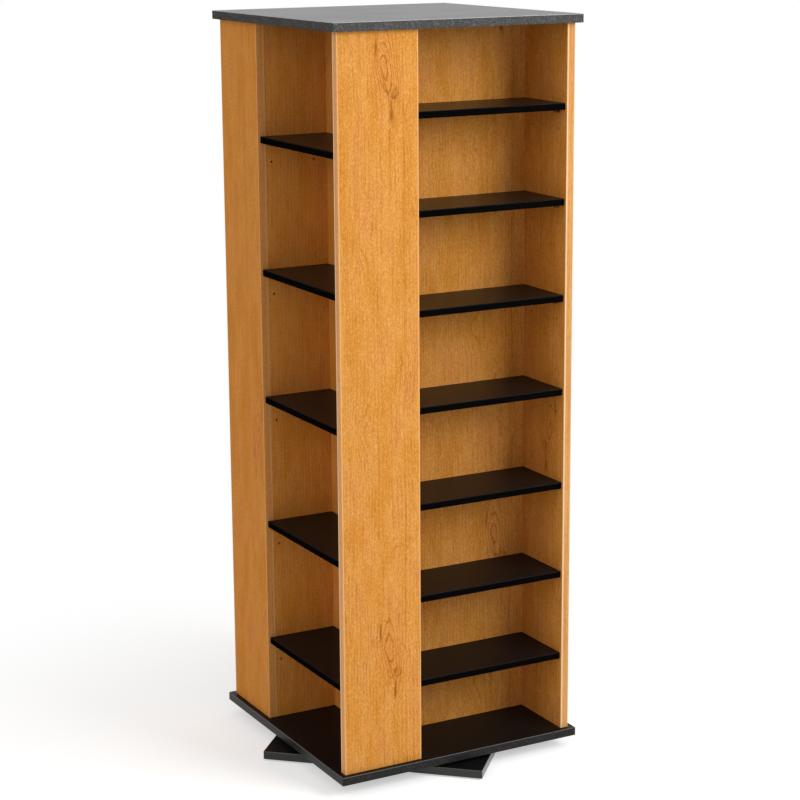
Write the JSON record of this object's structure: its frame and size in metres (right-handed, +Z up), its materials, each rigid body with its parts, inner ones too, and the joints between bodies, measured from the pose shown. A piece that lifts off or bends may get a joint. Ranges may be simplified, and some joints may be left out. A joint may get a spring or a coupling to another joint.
{
  "type": "rotating media tower",
  "caption": "Tall square tower of oak-faced panels with black shelves, open on every side, turning on a ball-bearing turntable over a square black base.",
  "frame": {"origin": "on the floor, on the upright axis that the tower turns about", "axes": "+Z up; -Y out of the front face, which has eight low rows; +X out of the right face, which has six rows; the base is turned 47.6 degrees under the case at rest, as in the picture"},
  "size_m": [0.5696, 0.5696, 1.3295],
  "materials": {
    "oak": "golden oak laminate, satin, grain upright",
    "black_laminate": "black laminate, satin",
    "zinc_steel": "zinc plated, pressed",
    "ball_steel": "polished",
    "glide_plastic": "moulded, matt"
  },
  "bodies": {
    "base": {"base_board": "black_laminate", "glide_1": "glide_plastic", "glide_2": "glide_plastic", "glide_3": "glide_plastic", "glide_4": "glide_plastic", "turntable_lower_plate": "zinc_steel", "lower_plate_screw_1": "zinc_steel", "lower_plate_screw_2": "zinc_steel", "lower_plate_screw_3": "zinc_steel", "lower_plate_screw_4": "zinc_steel"},
    "tower": {"turntable_upper_plate": "zinc_steel", "upper_plate_screw_1": "zinc_steel", "upper_plate_screw_2": "zinc_steel", "upper_plate_screw_3": "zinc_steel", "upper_plate_screw_4": "zinc_steel", "bottom_board": "black_laminate", "top_board": "black_laminate", "side_panel_front": "oak", "side_panel_right": "oak", "side_panel_back": "oak", "side_panel_left": "oak", "divider_front": "oak", "divider_right": "oak", "divider_back": "oak", "divider_left": "oak", "shelf_front_1": "black_laminate", "shelf_front_2": "black_laminate", "shelf_front_3": "black_laminate", "shelf_front_4": "black_laminate", "shelf_front_5": "black_laminate", "shelf_front_6": "black_laminate", "shelf_front_7": "black_laminate", "shelf_right_1": "black_laminate", "shelf_right_2": "black_laminate", "shelf_right_3": "black_laminate", "shelf_right_4": "black_laminate", "shelf_right_5": "black_laminate", "shelf_back_1": "black_laminate", "shelf_back_2": "black_laminate", "shelf_back_3": "black_laminate", "shelf_back_4": "black_laminate", "shelf_back_5": "black_laminate", "shelf_back_6": "black_laminate", "shelf_back_7": "black_laminate", "shelf_left_1": "black_laminate", "shelf_left_2": "black_laminate", "shelf_left_3": "black_laminate", "shelf_left_4": "black_laminate", "shelf_left_5": "black_laminate"},
    "ball_cage": {"ball_ring": "ball_steel"}
  },
  "joints": [
    {"name": "tower_turn", "type": "hinge", "parent": "base", "child": "tower", "pos_m": [0, 0, 0.02125], "axis": [0, 0, 1], "continuous": true},
    {"name": "cage_turn", "type": "hinge", "parent": "base", "child": "ball_cage", "pos_m": [0, 0, 0.02125], "axis": [0, 0, 1], "continuous": true}
  ],
  "couplings": [
    {"joint": "cage_turn", "follows": "tower_turn", "ratio": 0.5}
  ]
}
